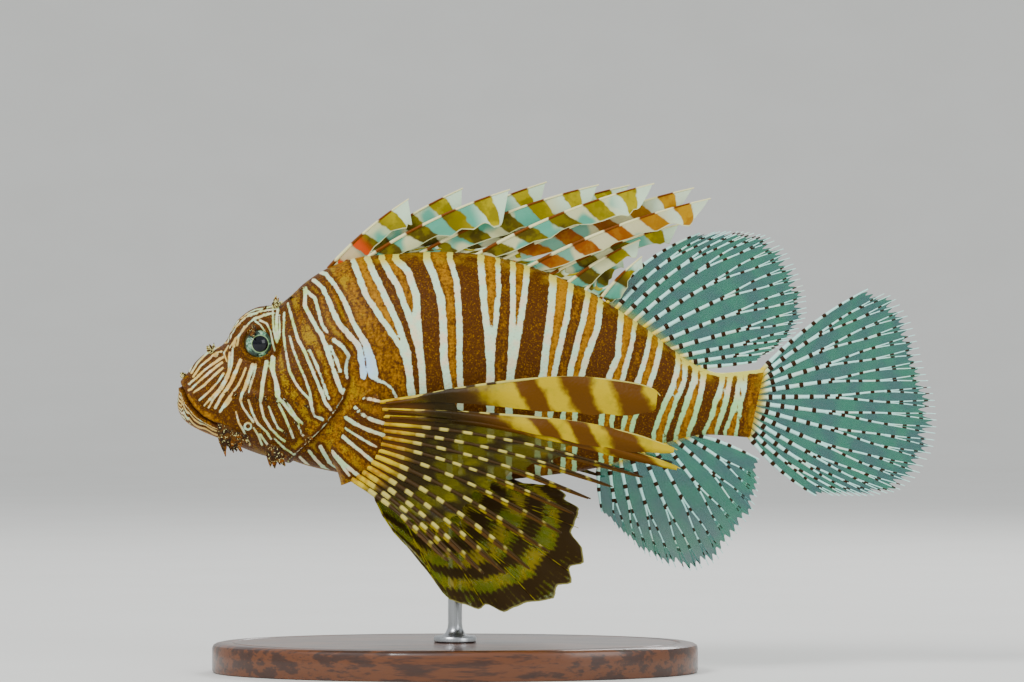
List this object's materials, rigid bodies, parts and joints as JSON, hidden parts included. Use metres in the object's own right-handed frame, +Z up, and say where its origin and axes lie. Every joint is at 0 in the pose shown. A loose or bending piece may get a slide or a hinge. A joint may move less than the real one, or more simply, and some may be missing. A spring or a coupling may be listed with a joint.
{
  "type": "red lionfish model",
  "caption": "Life-size still model of a striped reef fish with long spread fins and upright dorsal spines, held level by a rod on a flat oval base.",
  "frame": {"origin": "centre of the underside of the stand's base, on the axis of the rod", "axes": "+X along the fish toward its tail, its head toward -X, its left side toward -Y, +Z up"},
  "size_m": [0.3191, 0.124, 0.2063],
  "materials": {
    "skin": "painted skin in a satin varnish, dark brown and ochre bars parted by pale stripes, with a fine scale relief",
    "eye": "polished eye, near-black pupil in a pale silvery green iris",
    "fin_clear": "clear grey-green membrane with pale rays dotted dark brown",
    "fin_banded": "olive yellow and brown bands across the rays, in a satin finish",
    "fin_dark": "dark brown membrane with olive bands and a pale edge line",
    "stand_wood": "dark stained hardwood, satin varnish, fine grain along the oval",
    "stand_steel": "brushed steel rod and flange"
  },
  "bodies": {
    "root": {"head": "skin", "trunk": "skin", "tail_stem": "skin", "eye_left": "eye", "eye_right": "eye", "dorsal_fin_spines": "fin_banded", "dorsal_fin_soft": "fin_clear", "anal_fin": "fin_clear", "tail_fin": "fin_clear", "pectoral_fin_left": "fin_banded", "pectoral_fin_right": "fin_banded", "pelvic_fin_left": "fin_dark", "pelvic_fin_right": "fin_dark", "stand_base": "stand_wood", "stand_rod": "stand_steel"}
  },
  "joints": []
}
